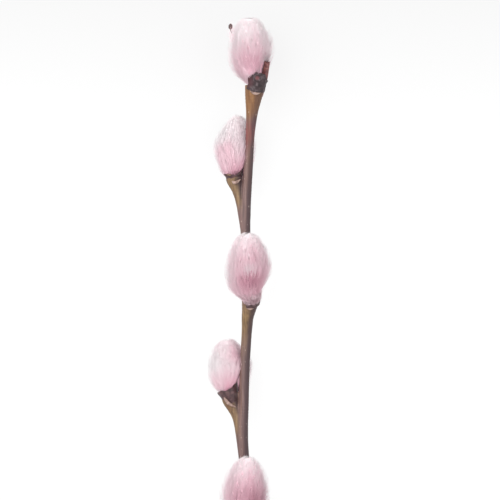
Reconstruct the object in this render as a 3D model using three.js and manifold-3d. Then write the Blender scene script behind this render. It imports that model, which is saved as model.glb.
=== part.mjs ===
// A cut twig of pink pussy willow with five catkins, lying on a surface, in millimetres.
// X runs across the twig, Y along it towards the tip, and Z up from the surface.
import * as THREE from "three";
import { mergeVertices } from "three/addons/utils/BufferGeometryUtils.js";
import Module from "manifold-3d";

const wasm = await Module();
wasm.setup();

// The layout's own zero lies under the twig's middle; this is the middle of the whole branch's box in it.
const BOX_MIDDLE = [-3.49, -32.42];
const GAP = 0.32; // clearance between neighbouring pieces
const WOOL_GAP = 0.6; // clearance between a scale and the wool

// Centre line and radius of the twig, from the cut end to the top: x, y, z, radius.
const TWIG = [
  [5.0, -151.7, 2.0, 2.15],
  [1.9, -129.5, 5.9, 2.1],
  [0.0, -114.7, 8.4, 2.1],
  [-0.85, -103.6, 10.0, 2.2],
  [-1.5, -90.6, 11.5, 1.95],
  [-2.25, -75.9, 12.6, 1.89],
  [-2.65, -68.4, 13.0, 1.95],
  [-2.4, -59.2, 13.3, 1.88],
  [-1.95, -44.4, 13.4, 1.83],
  [-1.37, -33.3, 13.4, 1.85],
  [-0.95, -25.9, 13.3, 2.1],
  [-0.93, -20.4, 13.3, 2.1],
  [-1.4, -7.4, 13.3, 1.8],
  [-1.67, 7.4, 13.3, 1.81],
  [-1.6, 13.0, 13.2, 1.85],
  [-1.2, 22.2, 13.1, 1.78],
  [-0.4, 33.3, 13.0, 1.68],
  [0.04, 42.6, 13.0, 1.72],
  [0.63, 50.0, 13.0, 2.15],
  [1.6, 57.4, 13.1, 3.1],
  [1.95, 60.7, 13.4, 3.35],
];
const TWIG_SIDES = 12;
const TWIG_STEPS = 2; // rings between one station and the next
const CUT_SLANT = 32; // degrees that the cut end leans from square
const CUT_IN = 1.4; // how far in from the first station the cut crosses the centre line

// Spurs that carry the catkins, each from inside the twig out to its top: x, y, z, radius.
const SPURS = [
  [
    [-1.7, 5.0, 13.2, 1.5],
    [-3.3, 16.6, 12.6, 1.8],
    [-4.4, 21.8, 11.9, 2.15],
    [-5.9, 26.0, 11.0, 3.0],
  ],
  [
    [-1.3, -32.0, 13.5, 1.6],
    [-0.9, -25.2, 14.4, 2.2],
    [0.1, -19.8, 16.1, 2.85],
  ],
  [
    [-2.5, -78.0, 12.8, 1.6],
    [-3.7, -66.6, 12.7, 1.85],
    [-4.8, -60.8, 12.1, 2.2],
    [-7.2, -55.4, 11.0, 3.1],
  ],
  [
    [-0.6, -116.0, 8.9, 1.8],
    [-1.3, -109.0, 10.6, 2.4],
    [-1.7, -103.6, 12.6, 3.0],
  ],
];
const SPUR_SIDES = 10;

// The twig's own broken tip, beside the top catkin.
const BROKEN_TIP = [
  [3.4, 57.0, 13.0, 1.25],
  [5.2, 63.4, 13.3, 1.15],
  [6.3, 69.3, 16.2, 0.95],
];
const ABOVE_TIP = [1.6, 3.2]; // the wool is also kept off the broken tip this high above it

// Leaf scars: a thin rim bowed under each catkin's foot, given by its two ends and its middle.
const RIM_RADIUS = 0.42;
const RIMS = [
  [[-1.4, 60.0, 14.6], [2.0, 58.3, 16.5], [4.7, 59.2, 14.6]],
  [[-8.4, 26.2, 11.2], [-5.9, 24.2, 13.6], [-3.2, 25.8, 12.8]],
  [[-2.6, -20.2, 16.6], [0.1, -21.5, 18.5], [2.6, -19.9, 16.8]],
  [[-9.9, -53.6, 11.4], [-7.2, -57.4, 13.3], [-4.9, -57.6, 12.6]],
  [[-4.4, -104.2, 13.2], [-1.7, -105.6, 15.2], [1.1, -104.0, 13.4]],
];

// The catkins from the tip down. foot, belly and nose are points of the axis; radius is the wool's.
// blunt bends the outline (less is rounder at the ends); sole is how far the wool is pressed where it rests.
const CATKINS = [
  {
    foot: [1.5, 61.2, 13.9],
    belly: [0.6, 73.5, 16.5],
    nose: [0.1, 86.6, 18.5],
    radius: 8.0,
    blunt: 0.46,
    sole: 0,
  },
  {
    foot: [-6.1, 27.0, 10.2],
    belly: [-5.35, 38.5, 6.5],
    nose: [-4.6, 50.7, 6.3],
    radius: 7.85,
    blunt: 0.66,
    sole: 0.24,
  },
  {
    foot: [-0.4, -19.6, 17.4],
    belly: [-0.55, -6.5, 20.9],
    nose: [-0.9, 6.3, 23.6],
    radius: 8.3,
    blunt: 0.56,
    sole: 0,
  },
  {
    foot: [-8.1, -53.2, 10.2],
    belly: [-7.2, -43.0, 7.0],
    nose: [-7.9, -32.4, 6.9],
    radius: 8.4,
    blunt: 0.5,
    sole: 0.24,
  },
  {
    foot: [-1.9, -102.6, 14.0],
    belly: [-1.9, -89.4, 19.0],
    nose: [-0.7, -76.0, 22.4],
    radius: 8.3,
    blunt: 0.56,
    sole: 0,
  },
];
const SKEW = 0.85; // below 1 the belly sits nearer the foot
const CORE_SHARE = 0.74; // the core's radius against the wool's
const CORE_SIDES = 10;
const CORE_RINGS = 7;
const CORE_ENDS = [0.02, 0.985]; // where the core starts and stops along the axis
const TUFTS = 42; // tufts of wool on each catkin
const TUFT_TIPS = [0.14, 0.995]; // where the lowest and the highest tuft end along the axis
const TUFT_LEAN = 0.3; // how far a tuft runs towards the nose, as a share of the axis
const TUFT_ROOT = 0.3; // how far out it starts, as a share of the wool's radius
const TUFT_BEND = 0.78; // where its widest place lies, as a share of the wool's radius
const TUFT_WIDTH = 2.1; // half its width there
const TUFT_RIDGE = 0.75; // half its thickness
const TUFT_POINT = 0.16;
const GOLDEN_ANGLE = Math.PI * (3 - Math.sqrt(5));

// What is left of each catkin's bud scale: a ragged patch of a funnel round the catkin's foot.
const SCALE_WALL = 0.75;
const BUD_SCALES = [
  {
    foot: [2.4, 59.0, 13.9],
    aim: [0.05, 1, 0.12],
    facing: [0.14, 0, 1],
    span: 136,
    radii: [3.5, 4.1],
    heights: [4.4, 8.2, 6.2],
    wrinkle: 0.3,
  },
  {
    foot: [-5.6, 25.4, 11.6],
    aim: [-0.15, 1, -0.25],
    facing: [-0.2, 0, 1],
    span: 172,
    radii: [2.7, 3.7],
    heights: [4.4, 1.2, 3.0],
    wrinkle: 0.15,
  },
  {
    foot: [0.2, -20.7, 16.3],
    aim: [0, 1, 0.3],
    facing: [0.9, 0, 1],
    span: 150,
    radii: [2.8, 3.6],
    heights: [1.4, 1.9, 2.6],
    wrinkle: 0.15,
  },
  {
    foot: [-6.3, -57.4, 12.0],
    aim: [-0.3, 1, -0.25],
    facing: [0, 0, 1],
    span: 190,
    radii: [2.0, 4.2],
    heights: [8.8, 5.6, 4.8],
    wrinkle: 0.15,
  },
  {
    foot: [-1.7, -104.4, 13.2],
    aim: [0, 1, 0.3],
    facing: [-0.3, 0, 1],
    span: 190,
    radii: [2.8, 3.7],
    heights: [2.4, 2.0, 3.4],
    wrinkle: 0.15,
  },
];
const WOOL_HELD_BACK = 5; // how far in front of a scale the wool is kept away
const SCALE_COLUMNS = 9;
const SCALE_ROWS = 3;

// The crumb of bud scale caught in the top catkin's wool, and the long tuft that reaches to it.
const FLECK = { middle: [-7.2, 82.4, 17.6], half: [0.75, 1.1, 0.4], turn: 0.35 };
const LONG_TUFT = { root: 0.62, widths: [1.2, 0.8, 0.2], short: 1.35 };

const COLOURS = { stem: 0x8a6a58, budScale: 0x3c2c2c, catkin: 0xe3bcc6, fleck: 0x44302e };

// Random numbers between 0 and 1 that are the same on every run.
function seeded(seed) {
  let state = seed;
  return () => {
    state = (state * 1664525 + 1013904223) % 4294967296;
    return state / 4294967296;
  };
}

const vector = (list) => new THREE.Vector3(list[0], list[1], list[2]);

// A closed geometry, with shared vertices merged, as a solid that can be joined and cut.
function solid(geometry) {
  const bare = geometry.clone();
  bare.deleteAttribute("normal");
  bare.deleteAttribute("uv");
  const merged = mergeVertices(bare, 1e-4);
  return new wasm.Manifold(
    new wasm.Mesh({
      numProp: 3,
      vertProperties: new Float32Array(merged.attributes.position.array),
      triVerts: new Uint32Array(merged.index.array),
    }),
  );
}

// The largest single body of a solid, so that no loose scrap stays after a cut.
function mainBody(shape) {
  return shape.decompose().reduce((a, b) => (a.volume() > b.volume() ? a : b));
}

function geometryOf(shape) {
  const mesh = shape.getMesh();
  return new THREE.BufferGeometry()
    .setAttribute("position", new THREE.BufferAttribute(mesh.vertProperties, 3))
    .setIndex(new THREE.BufferAttribute(mesh.triVerts, 1));
}

// A closed skin over rings of equal length, each end drawn to its own middle point.
function skin(rings) {
  const count = rings[0].length;
  const middle = (ring) => ring.reduce((sum, p) => sum.add(p), new THREE.Vector3()).divideScalar(count);
  const points = [...rings.flat(), middle(rings[0]), middle(rings[rings.length - 1])];
  const last = rings.length - 1;
  const index = [];
  for (let k = 0; k < count; k++) {
    const next = (k + 1) % count;
    for (let r = 0; r < last; r++) {
      const a = r * count + k;
      const b = r * count + next;
      index.push(a, b + count, b, a, a + count, b + count);
    }
    index.push(k, next, points.length - 2);
    index.push(last * count + next, last * count + k, points.length - 1);
  }
  return new THREE.BufferGeometry().setFromPoints(points).setIndex(index);
}

// A point of the smooth curve through a list of equal-length rows, at row number s.
function along(rows, s) {
  const i = Math.min(Math.floor(s), rows.length - 2);
  const f = s - i;
  const a = rows[Math.max(i - 1, 0)];
  const b = rows[i];
  const c = rows[i + 1];
  const d = rows[Math.min(i + 2, rows.length - 1)];
  return b.map((value, k) => {
    const slope = c[k] - a[k];
    const square = 2 * a[k] - 5 * value + 4 * c[k] - d[k];
    const cube = 3 * (value - c[k]) + d[k] - a[k];
    return value + 0.5 * f * (slope + f * (square + f * cube));
  });
}

// Two directions square to a heading, the first as level as it can be.
function across(heading) {
  const side = new THREE.Vector3().crossVectors(heading, new THREE.Vector3(0, 0, 1)).normalize();
  return [side, new THREE.Vector3().crossVectors(side, heading)];
}

// A round limb along stations of x, y, z and radius.
function limb(stations, sides, steps, grow = 0) {
  const count = (stations.length - 1) * steps;
  const rings = [];
  for (let n = 0; n <= count; n++) {
    const s = n / steps;
    const here = along(stations, s);
    const before = vector(along(stations, Math.max(s - 0.05, 0)));
    const after = vector(along(stations, Math.min(s + 0.05, stations.length - 1)));
    const heading = after.sub(before).normalize();
    const [side, up] = across(heading);
    const end = n === 0 ? -grow : n === count ? grow : 0;
    const middle = vector(here).addScaledVector(heading, end);
    rings.push(
      Array.from({ length: sides }, (_, k) => {
        const angle = (2 * Math.PI * k) / sides;
        return middle
          .clone()
          .addScaledVector(side, (here[3] + grow) * Math.cos(angle))
          .addScaledVector(up, (here[3] + grow) * Math.sin(angle));
      }),
    );
  }
  return solid(skin(rings));
}

// A leaf-scar rim: a thin limb bowed through three points and pointed at both ends.
function rim([start, middle, end], grow) {
  return limb([[...start, 0.1], [...middle, RIM_RADIUS], [...end, 0.1]], 6, 3, grow);
}

// The space under the surface that the branch lies on.
const underSurface = solid(new THREE.BoxGeometry(400, 400, 40).translate(0, 0, -20));

// What the slanted cut at the foot of the twig takes away.
function beyondCut() {
  const [x, y, z] = TWIG[0];
  const block = new THREE.BoxGeometry(30, 20, 30).translate(0, -10, 0);
  block.rotateX(THREE.MathUtils.degToRad(-CUT_SLANT));
  return solid(block.translate(x, y + CUT_IN, z));
}

// The whole woody part; grow fattens it, for cutting its clearance out of a neighbour.
function twig(grow = 0) {
  let wood = limb(TWIG, TWIG_SIDES, TWIG_STEPS, grow);
  for (const spur of SPURS) wood = wood.add(limb(spur, SPUR_SIDES, 2, grow));
  wood = wood.add(limb(BROKEN_TIP, 8, 2, grow));
  for (const points of RIMS) wood = wood.add(rim(points, grow));
  if (grow > 0) return wood;
  return mainBody(wood.subtract(beyondCut()).subtract(underSurface));
}

// The wool's radius at a share t of the axis, as a share of its greatest.
function outline(t, blunt) {
  const s = Math.pow(t, SKEW);
  return Math.pow(Math.max(4 * s * (1 - s), 0), blunt);
}

// A catkin's frame at a share t of its axis: the point, the heading and two directions across.
function station({ foot, belly, nose }, t) {
  const rows = [foot, belly, nose];
  const point = vector(along(rows, 2 * t));
  const heading = vector(along(rows, Math.min(2 * t + 0.05, 2)))
    .sub(vector(along(rows, Math.max(2 * t - 0.05, 0))))
    .normalize();
  return { point, heading, sides: across(heading) };
}

// A point of a catkin, at a share t of its axis, turned by angle and a share of the wool's radius out.
function onCatkin(catkin, t, angle, share) {
  const { point, sides } = station(catkin, t);
  const reach = share * catkin.radius * outline(t, catkin.blunt);
  return point
    .addScaledVector(sides[0], reach * Math.cos(angle))
    .addScaledVector(sides[1], reach * Math.sin(angle));
}

// The catkin's dense middle, round at the nose and fuller underneath where the wool is pressed.
function core(catkin) {
  const rings = [];
  for (let r = 0; r <= CORE_RINGS; r++) {
    const t = CORE_ENDS[0] + ((CORE_ENDS[1] - CORE_ENDS[0]) * (1 - Math.cos((Math.PI * r) / CORE_RINGS))) / 2;
    rings.push(
      Array.from({ length: CORE_SIDES }, (_, k) => {
        const angle = (2 * Math.PI * k) / CORE_SIDES;
        const pressed = catkin.sole * Math.pow(Math.max(-Math.sin(angle), 0), 4);
        return onCatkin(catkin, t, angle, CORE_SHARE + pressed);
      }),
    );
  }
  return solid(skin(rings));
}

// One pointed lock of wool: a ridged blade that leaves the core low down and ends on the wool's outline.
function tuft(catkin, t, angle, reach) {
  const shorter = Math.min(1, 2.4 * (1.1 - t)); // tufts near the nose are short
  const start = Math.max(t - TUFT_LEAN * shorter, CORE_ENDS[0]);
  const root = onCatkin(catkin, start, angle, TUFT_ROOT);
  const bend = onCatkin(catkin, start + 0.4 * (t - start), angle, TUFT_BEND);
  const tip = onCatkin(catkin, t, angle, reach);
  const heading = tip.clone().sub(root).normalize();
  const out = bend.clone().sub(station(catkin, start).point).normalize();
  const side = new THREE.Vector3().crossVectors(heading, out).normalize();
  const lift = new THREE.Vector3().crossVectors(side, heading);
  const ring = (middle, width, thickness) => [
    middle.clone().addScaledVector(side, width).addScaledVector(lift, -thickness),
    middle.clone().addScaledVector(lift, thickness),
    middle.clone().addScaledVector(side, -width).addScaledVector(lift, -thickness),
  ];
  return solid(
    skin([
      ring(root, 0.6 * TUFT_WIDTH, TUFT_RIDGE),
      ring(bend, TUFT_WIDTH, TUFT_RIDGE),
      ring(tip, TUFT_POINT, TUFT_POINT),
    ]),
  );
}

// A catkin: its core with tufts in a spiral, cut clear of the wood and its scale and flat where it rests.
function catkinBody(catkin, seed, clearances, extra) {
  const random = seeded(seed);
  let wool = core(catkin);
  for (let n = 0; n < TUFTS; n++) {
    const t = TUFT_TIPS[0] + (TUFT_TIPS[1] - TUFT_TIPS[0]) * Math.pow((n + 0.5) / TUFTS, 0.9);
    const angle = n * GOLDEN_ANGLE + 0.3 * (random() - 0.5);
    wool = wool.add(tuft(catkin, t, angle, 0.95 + 0.08 * random()));
  }
  if (extra) wool = wool.add(extra);
  for (const clearance of clearances) wool = wool.subtract(clearance);
  return mainBody(wool.subtract(underSurface));
}

// A bud scale's shell. grow fattens it and outward thickens its outside, for cutting the wool clear of it.
function scaleBody({ foot, aim, facing, span, radii, heights, wrinkle }, grow = 0, outward = 0) {
  const heading = vector(aim).normalize();
  const front = vector(facing).addScaledVector(heading, -vector(facing).dot(heading)).normalize();
  const side = new THREE.Vector3().crossVectors(heading, front);
  const half = THREE.MathUtils.degToRad(span / 2) + grow / radii[0];
  const sections = [];
  for (let c = 0; c < SCALE_COLUMNS; c++) {
    const share = c / (SCALE_COLUMNS - 1);
    const angle = (2 * share - 1) * half;
    const ragged = 0.25 * Math.sin(11 * share + 3 * radii[0]) + 0.15 * Math.sin(29 * share);
    const height = along([[heights[0]], [heights[1]], [heights[2]]], 2 * share)[0] + ragged + 2 * grow;
    const section = [];
    const place = (v, inward) => {
      const swell = wrinkle * Math.sin(9 * share + 2) * Math.sin(7 * v + 4 * share);
      const radius = radii[0] + (radii[1] - radii[0]) * Math.pow(v, 0.8) + swell * (inward ? 0.4 : 1);
      const reach = radius + (inward ? -SCALE_WALL - grow : grow + outward);
      return vector(foot)
        .addScaledVector(heading, v * height - grow)
        .addScaledVector(front, reach * Math.cos(angle))
        .addScaledVector(side, -reach * Math.sin(angle));
    };
    for (let v = 0; v <= SCALE_ROWS; v++) section.push(place(v / SCALE_ROWS, true));
    for (let v = SCALE_ROWS; v >= 0; v--) section.push(place(v / SCALE_ROWS, false));
    sections.push(section);
  }
  return solid(skin(sections));
}

// What the wool leaves free for its scale: a fattened scale, and copies moved by a gap up, in and sideways.
function scaleClearance(scale) {
  const up = vector(scale.aim).normalize();
  const inward = vector(scale.facing).normalize().negate();
  const side = new THREE.Vector3().crossVectors(up, inward);
  const moved = [up, inward, side, side.clone().negate()].map((direction) => {
    const foot = vector(scale.foot).addScaledVector(direction, GAP);
    return scaleBody({ ...scale, foot: foot.toArray() });
  });
  return [scaleBody(scale, WOOL_GAP, WOOL_HELD_BACK), ...moved];
}

// The crumb: a small lens of eight faces, turned to follow the hair that holds it.
function fleckBody() {
  const crumb = new THREE.OctahedronGeometry(1, 1).scale(...FLECK.half).rotateZ(FLECK.turn);
  return solid(crumb.translate(...FLECK.middle));
}

// The hair of the top catkin that reaches to the crumb and stops just short of it.
function longTuft() {
  const root = onCatkin(CATKINS[0], LONG_TUFT.root, Math.PI, CORE_SHARE * 0.7);
  const reach = vector(FLECK.middle).sub(root);
  const end = root.clone().add(reach.clone().setLength(reach.length() - LONG_TUFT.short));
  const middle = root.clone().lerp(end, 0.5);
  const stations = [root, middle, end].map((point, n) => [...point, LONG_TUFT.widths[n]]);
  return limb(stations, 4, 1);
}

// The space above the broken tip that the top catkin's wool leaves free.
function aboveBrokenTip(height) {
  return limb(BROKEN_TIP.map(([x, y, z, radius]) => [x, y, z + height, radius]), 8, 2, GAP);
}

function named(name, shape, colour, roughness) {
  const material = new THREE.MeshStandardMaterial({ color: colour, roughness, metalness: 0 });
  const mesh = new THREE.Mesh(geometryOf(shape), material);
  mesh.name = name;
  return mesh;
}

const group = new THREE.Group();
const wood = twig();
const woodClearance = twig(GAP);
group.add(named("stem", wood, COLOURS.stem, 0.6));
BUD_SCALES.forEach((scale, n) => {
  const body = mainBody(scaleBody(scale).subtract(woodClearance));
  group.add(named(`bud_scale_${n + 1}`, body, COLOURS.budScale, 0.7));
});
CATKINS.forEach((catkin, n) => {
  const clearances = [woodClearance, ...scaleClearance(BUD_SCALES[n])];
  if (n === 0) clearances.push(...ABOVE_TIP.map(aboveBrokenTip));
  const body = catkinBody(catkin, 17 + n, clearances, n === 0 ? longTuft() : null);
  group.add(named(`catkin_${n + 1}`, body, COLOURS.catkin, 0.95));
});
group.add(named("scale_fleck", fleckBody(), COLOURS.fleck, 0.7));
group.position.set(-BOX_MIDDLE[0], -BOX_MIDDLE[1], 0);

export default group;
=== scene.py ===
import math

import bmesh
import bpy
import numpy as np
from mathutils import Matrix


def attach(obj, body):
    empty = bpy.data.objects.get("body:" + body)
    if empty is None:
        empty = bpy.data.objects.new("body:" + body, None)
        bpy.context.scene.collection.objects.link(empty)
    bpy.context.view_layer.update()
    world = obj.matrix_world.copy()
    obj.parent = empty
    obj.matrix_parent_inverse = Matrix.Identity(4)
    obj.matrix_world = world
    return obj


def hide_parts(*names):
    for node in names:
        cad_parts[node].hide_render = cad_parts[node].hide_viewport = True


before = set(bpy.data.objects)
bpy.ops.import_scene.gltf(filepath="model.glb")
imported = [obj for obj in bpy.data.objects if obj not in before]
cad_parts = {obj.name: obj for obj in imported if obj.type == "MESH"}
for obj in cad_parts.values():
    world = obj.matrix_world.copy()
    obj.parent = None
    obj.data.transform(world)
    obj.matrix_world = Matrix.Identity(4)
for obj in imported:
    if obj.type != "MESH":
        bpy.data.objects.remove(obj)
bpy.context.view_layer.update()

# Lengths are in millimetres from the middle of the photograph, x to its right, y to its top, z up from the
# surface that the branch lies on. PHOTO_MIDDLE is where that point lies in the frame.
PHOTO_MIDDLE = np.array([3.49, 32.42, 0.0])
METRES = 0.001
PHOTO_SIDE = 185.0
ABOVE_SURFACE = 0.05

# The camera's lens and sensor, and the height that it is aimed at, in millimetres.
LENS = 300
SENSOR = 36
STEM_HEIGHT = 13

# The light: the room's strength, and each lamp's name, place and side in metres, and power in watts. The
# floor is a little darker at the top: its glow goes from the first of FLOOR_GLOW to the second between the
# two places of FLOOR_FADE, along y in metres.
ROOM_LIGHT = 1.15
LAMPS = (
    ("window", (-0.45, 0.30, 0.75), 0.9, 7.2),
    ("fill", (0.6, 0.1, 0.6), 0.8, 2.4),
)
FLOOR_HALF = 3.0
FLOOR_FADE = (0.14, 0.05)
FLOOR_GLOW = (0.73, 0.87)

# The woody parts: rows of x, y, z and radius.
TWIG = [
    [5.0, -151.7, 2.0, 2.15],
    [1.9, -129.5, 5.9, 2.1],
    [0, -114.7, 8.4, 2.1],
    [-0.85, -103.6, 10, 2.2],
    [-1.5, -90.6, 11.5, 1.95],
    [-2.25, -75.9, 12.6, 1.89],
    [-2.65, -68.4, 13, 1.95],
    [-2.4, -59.2, 13.3, 1.88],
    [-1.95, -44.4, 13.4, 1.83],
    [-1.37, -33.3, 13.4, 1.85],
    [-0.95, -25.9, 13.3, 2.1],
    [-0.93, -20.4, 13.3, 2.1],
    [-1.4, -7.4, 13.3, 1.8],
    [-1.67, 7.4, 13.3, 1.81],
    [-1.6, 13, 13.2, 1.85],
    [-1.2, 22.2, 13.1, 1.78],
    [-0.4, 33.3, 13, 1.68],
    [0.04, 42.6, 13, 1.72],
    [0.63, 50, 13, 2.15],
    [1.4, 57.4, 13.1, 3.25],
    [1.75, 60.7, 13.4, 3.6],
]
SPURS = [
    [[-1.7, 5, 13.2, 1.5], [-3.3, 16.6, 12.6, 1.8], [-4.4, 21.8, 11.9, 2.15], [-5.65, 26, 11.2, 3.15],
     [-5.4, 27.6, 11.2, 3.3]],
    [[-1.3, -32, 13.5, 1.6], [-0.9, -25.2, 14.4, 2.2], [0.1, -19.8, 16.1, 2.85]],
    [[-2.5, -78, 12.8, 1.6], [-3.7, -66.6, 12.7, 1.85], [-4.8, -60.8, 12.1, 2.2], [-7.2, -55.4, 11, 3.1],
     [-6.8, -53.9, 10.9, 3.3], [-6.6, -52.4, 10.9, 3.2]],
    [[-0.6, -116, 8.9, 1.8], [-1.3, -109, 10.6, 2.4], [-1.7, -103.6, 12.6, 3.0]],
]
BROKEN_TIP = [[3.4, 57, 13, 1.25], [5.2, 63.4, 13.3, 1.15], [6.3, 69.3, 16.2, 0.95]]
RIMS = [
    [[-1.4, 59.8, 14.9], [2, 57.9, 16.6], [4.7, 58.9, 14.8]],
    [[-7.2, 25.9, 13.1], [-5.5, 24.9, 14.6], [-3.5, 26.2, 14.0]],
    [[-2.6, -20.2, 16.6], [0.1, -21.5, 18.5], [2.6, -19.9, 16.8]],
    [[-10.1, -53.7, 12.5], [-8.1, -56.4, 14.7], [-4.9, -58.4, 13.8]],
    [[-4.4, -104.2, 13.2], [-1.7, -105.6, 15.2], [1.1, -104, 13.4]],
]
RIM_RADIUS = 0.62
CUT_SLANT = 32
CUT_IN = 1.4

# The bark: the cell of the skin in metres, the heights of the nodes where it wrinkles, how many pores it
# has, and how far each kind of mark lifts it. It is ochre from one height up, wine red and olive round two
# others, and olive on some spurs, each with its number and the heights where the olive starts and is full.
SKIN_CELL = 0.00024
NODE_HEIGHTS = (56, 21, -22, -59, -106)
PORES = 130
GROOVE_LIFT = 0.028
SWELLING_LIFT = 0.05
WRINKLE_LIFT = 0.03
PORE_LIFT = 0.09
OCHRE_START = 46.5
WINE_MIDDLE = 43
OLIVE_MIDDLE = -26
OLIVE_SPURS = ((1, 13, 19), (3, -72, -64))

# The catkins: the ends and middle of the axis, the wool's radius, how blunt it is, how far its longest
# hairs reach, its tone from foot to nose, 0 for the deepest rose and 1 for white, how much darker it is
# to its right, partly deeper rose wool and partly painted shade away from the window lamp, where it is
# pinched, a share of the axis, an angle, how deep and how far along, and spots of another tone: the same
# with how much lighter.
SKEW = 0.85
CATKINS = {
    1: dict(foot=[1.5, 61.2, 13.9], belly=[0.6, 73.5, 16.5], nose=[-0.3, 85.7, 18.5],
            radius=8.0, blunt=0.43, longest=1.2,
            tone=[0.56, 0.57, 0.60, 0.59, 0.75, 0.94, 0.98], right=-0.10,
            pinches=[(0.2, 0, 0.34, 0.2), (0.06, np.pi, 0.4, 0.12), (0.9, 0, 0.12, 0.14)],
            # The second spot is painted light: it lightens the wool where the broken tip casts its shadow.
            spots=[(0.45, 0.9, -0.34, 0.1), (0.52, 0.1, 0.36, 0.13)]),
    2: dict(foot=[-6.1, 27, 10.2], belly=[-5.35, 38.5, 6.5], nose=[-4.7, 50.1, 6.3],
            radius=7.85, blunt=0.66, longest=1.15,
            tone=[0.46, 0.50, 0.66, 0.80, 0.92, 0.97, 1.0], right=-0.12,
            pinches=[(0.9, np.pi, 0.24, 0.18), (0.2, np.pi, 0.16, 0.16), (0.42, 0, 0.12, 0.3)],
            spots=[(0.5, 2.5, -0.14, 0.13)]),
    3: dict(foot=[-0.4, -19.6, 17.4], belly=[-0.55, -6.5, 20.9], nose=[-0.9, 6.3, 23.6],
            radius=8.3, blunt=0.56, longest=1.14,
            tone=[0.66, 0.54, 0.53, 0.60, 0.62, 0.77, 1.0], right=-0.12,
            pinches=[(0.2, 0, 0.42, 0.17), (0.03, np.pi, 0.6, 0.12), (0.12, np.pi, 0.4, 0.06)],
            spots=[(0.48, 1.45, -0.44, 0.09), (0.62, 1.5, 0.36, 0.045), (0.45, 2.9, 0.1, 0.2)]),
    4: dict(foot=[-8.1, -53.2, 10.2], belly=[-7.2, -43, 7.0], nose=[-8.3, -33.2, 6.9],
            radius=8.4, blunt=0.5, longest=1.1,
            tone=[0.44, 0.48, 0.62, 0.74, 0.80, 0.84, 0.9], right=-0.24,
            pinches=[(0.05, np.pi, 0.2, 0.14), (0.88, 0, 0.35, 0.2)],
            spots=[(0.55, 2.4, 0.18, 0.2), (0.75, 0.9, -0.14, 0.14)]),
    5: dict(foot=[-1.9, -102.6, 14], belly=[-1.9, -89.4, 19], nose=[-0.7, -76, 22.4],
            radius=8.3, blunt=0.56, longest=1.2,
            tone=[0.5, 0.36, 0.38, 0.44, 0.54, 0.76, 1.0], right=-0.18,
            pinches=[(0.95, np.pi, 0.12, 0.14)],
            spots=[(0.56, 0.7, -0.22, 0.13)]),
}

# The core: its share of the wool's radius, where it starts and ends on the axis, its lightest tone, how
# often it is smoothed, how far its tones are shifted along the axis, as the hairs over it lean, and the
# number of bracts on it.
CORE_SHARE = 0.79
CORE_ENDS = (0.02, 0.965)
CORE_LIGHTEST = 0.84
CORE_SMOOTHINGS = 16
HAIR_LEAN = 0.08
BRACTS = 80
GOLDEN_ANGLE = math.pi * (3 - math.sqrt(5))

# The hairs of a catkin: their number and radius, the shortest reach as a share of the wool's radius, the
# mean of what is added to it, how far the tips scatter, and where the nose starts, with how far its hairs
# reach on and how much their normals are lifted. HAIR_OWN is how much a hair keeps of its own normals.
HAIRS = 14000
HAIR_RADIUS = 0.032
HAIR_OWN = 0.35
HAIR_SHORTEST = 0.81
HAIR_MORE = 0.095
TIP_SCATTER = 0.22
NOSE_START = 0.78
NOSE_REACH = 1.3
NOSE_LIFT = 0.45

# How wool is kept clear: its gap to the wood and to a bud scale's inner wall, how far behind the lip it may
# start to widen again, and how fast it does so beyond the lip and beyond the sides.
WOOD_GAP = 0.12
SCALE_GAP = 0.15
LIP_OVERLAP = 0.6
WIDENS_PAST_LIP = 1.1
WIDENS_PAST_SIDE = 1.5

# The dip that the broken tip presses into the wool of the top catkin: how far under the tip's middle line
# it lies, the half width of its floor, the slope of its sides and how far out it is felt.
DIP_DEPTH = 0.9
DIP_FLOOR = 1.1
DIP_SLOPE = 2.4
DIP_REACH = 4

# The bud scales: where the shell starts, where it points, the side that it faces, how far round it reaches
# in degrees, its radii at foot and lip, its heights from right to left, and how wrinkled it is.
BUD_SCALES = {
    1: dict(foot=[1.9, 59.2, 14.1], aim=[0.24, 1, 0.26], facing=[0.14, 0, 1], span=136, radii=[3.5, 3.9],
            heights=[4.6, 6.6, 7.3, 7.0, 4.2], wrinkle=0.2),
    2: dict(foot=[-5.6, 26.0, 11.6], aim=[-0.15, 1, -0.25], facing=[-0.2, 0, 1], span=172, radii=[2.7, 3.7],
            heights=[3.3, 0.75, 2.8], wrinkle=0.15),
    3: dict(foot=[0.2, -20.7, 16.3], aim=[0, 1, 0.3], facing=[0.9, 0, 1], span=150, radii=[2.8, 3.6],
            heights=[1.4, 1.9, 2.6], wrinkle=0.15),
    4: dict(foot=[-6.3, -57.4, 12], aim=[-0.3, 1, -0.25], facing=[0, 0, 1], span=190, radii=[2.0, 4.2],
            heights=[8.8, 5.4, 6.1], wrinkle=0.1),
    5: dict(foot=[-1.7, -104.4, 13.2], aim=[0, 1, 0.3], facing=[-0.3, 0, 1], span=190, radii=[2.8, 3.7],
            heights=[2.4, 2.0, 3.4], wrinkle=0.15),
}
SCALE_WALL = 0.75

# The knob on the first bud scale: its middle, and the radius of the ring round it.
BOSS = np.array([2.7, 63.5, 18.9])
BOSS_RADIUS = 1.15

# The crumb in the wool: its middle, its half sizes, and the rows of the thread under it.
FLECK_MIDDLE = [-7.2, 82.4, 17.6]
FLECK_HALF = [0.75, 1.1, 0.4]
FLECK_THREAD = [[-7.2, 82, 17.8, 0.16], [-7.1, 80.9, 17.9, 0.13], [-6.6, 79.7, 17.6, 0.06]]


# Shapes as whole arrays


def unit(vectors):
    """Each row divided by its own length."""
    return vectors / np.linalg.norm(vectors, axis=-1, keepdims=True)


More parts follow.
